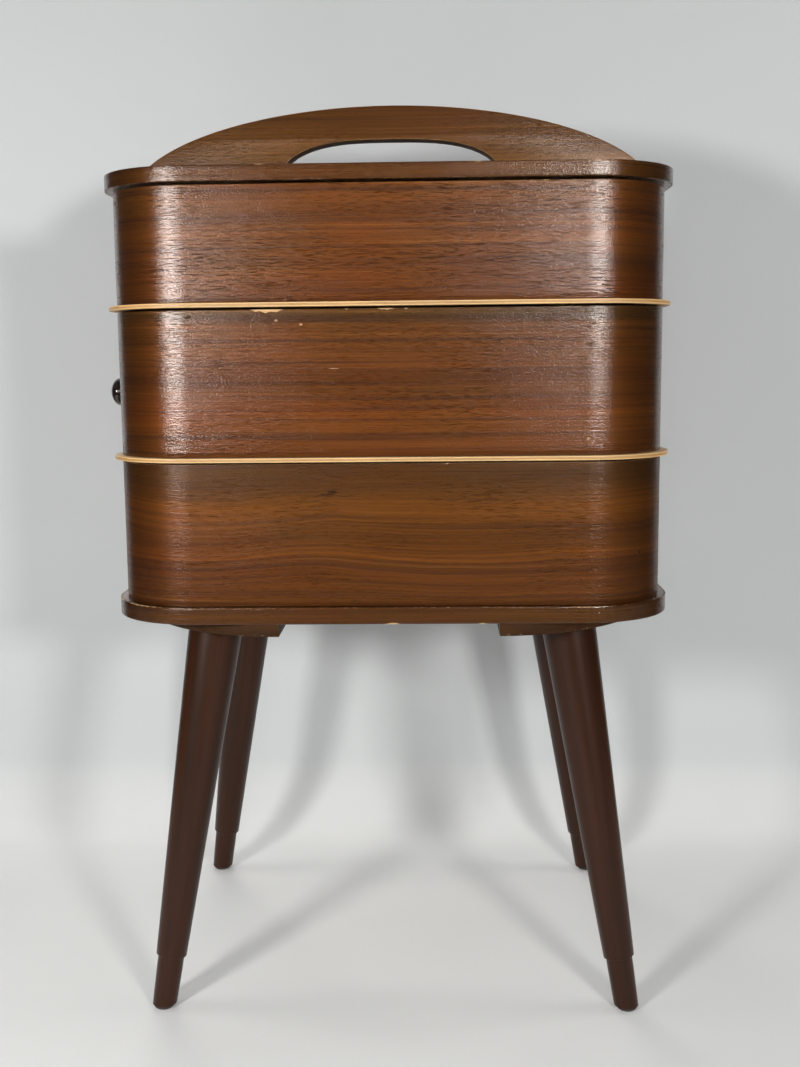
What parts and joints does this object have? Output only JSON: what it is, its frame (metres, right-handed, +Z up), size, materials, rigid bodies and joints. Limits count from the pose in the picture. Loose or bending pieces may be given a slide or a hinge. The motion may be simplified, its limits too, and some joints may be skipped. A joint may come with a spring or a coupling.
{
  "type": "sewing box with trays",
  "caption": "Free-standing wooden sewing box with rounded stacked tiers that swivel on a corner rod, a lid with an arched carrying handle and splayed tapered legs.",
  "frame": {"origin": "middle of the bounding box at the floor, under the four feet", "axes": "+Z up, the front faces -Y, +X to the right seen from the front; the knob points to -X and the pivot rod stands at +X +Y"},
  "size_m": [0.4654, 0.32, 0.7291],
  "materials": {
    "veneer": "walnut veneer with level grain under semi-gloss lacquer",
    "edge_veneer": "lacquered veneer edge band",
    "plywood": "clear lacquered three-ply with visible plies on its edge",
    "leg_board_wood": "brown stained board",
    "leg_wood": "dark brown stained and lacquered, satin",
    "post_wood": "plain beech",
    "steel": "zinc plated",
    "brass": "satin",
    "glide_plastic": "matt black",
    "knob_plastic": "glossy black"
  },
  "bodies": {
    "base": {"base_board": "veneer", "base_edge_band": "edge_veneer", "leg_board_left": "leg_board_wood", "leg_board_right": "leg_board_wood", "lower_shell": "veneer", "lower_pivot_post": "post_wood", "lower_spacer_washer": "steel", "pivot_rod": "steel", "pivot_nut": "steel", "pivot_nut_washer": "steel", "pivot_cap": "brass", "leg_front_left": "leg_wood", "leg_front_right": "leg_wood", "leg_rear_left": "leg_wood", "leg_rear_right": "leg_wood", "foot_glide_front_left": "glide_plastic", "foot_glide_front_right": "glide_plastic", "foot_glide_rear_left": "glide_plastic", "foot_glide_rear_right": "glide_plastic", "leg_bolt_front_left": "steel", "leg_bolt_front_right": "steel", "leg_bolt_rear_left": "steel", "leg_bolt_rear_right": "steel"},
    "middle_tray": {"middle_base_plate": "plywood", "middle_shell": "veneer", "middle_pivot_post": "post_wood", "middle_spacer_washer": "steel", "middle_divider": "plywood", "knob": "knob_plastic", "knob_screw": "steel"},
    "upper_tray": {"upper_base_plate": "plywood", "upper_shell": "veneer", "upper_pivot_post": "post_wood", "upper_spacer_washer": "steel", "upper_long_divider": "plywood", "upper_cross_divider_left": "plywood", "upper_cross_divider_right": "plywood"},
    "lid": {"lid_board": "veneer", "lid_edge_band": "edge_veneer", "handle": "veneer", "handle_screw_left": "steel", "handle_screw_right": "steel"}
  },
  "joints": [
    {"name": "middle_tray_swivel", "type": "hinge", "parent": "base", "child": "middle_tray", "pos_m": [0.19689, 0.12414, 0.4425], "axis": [0, 0, 1], "range_deg": [0, 110]},
    {"name": "upper_tray_swivel", "type": "hinge", "parent": "base", "child": "upper_tray", "pos_m": [0.19689, 0.12414, 0.5575], "axis": [0, 0, 1], "range_deg": [0, 110]},
    {"name": "lid_swivel", "type": "hinge", "parent": "base", "child": "lid", "pos_m": [0.19689, 0.12414, 0.6482], "axis": [0, 0, 1], "range_deg": [0, 110]}
  ]
}
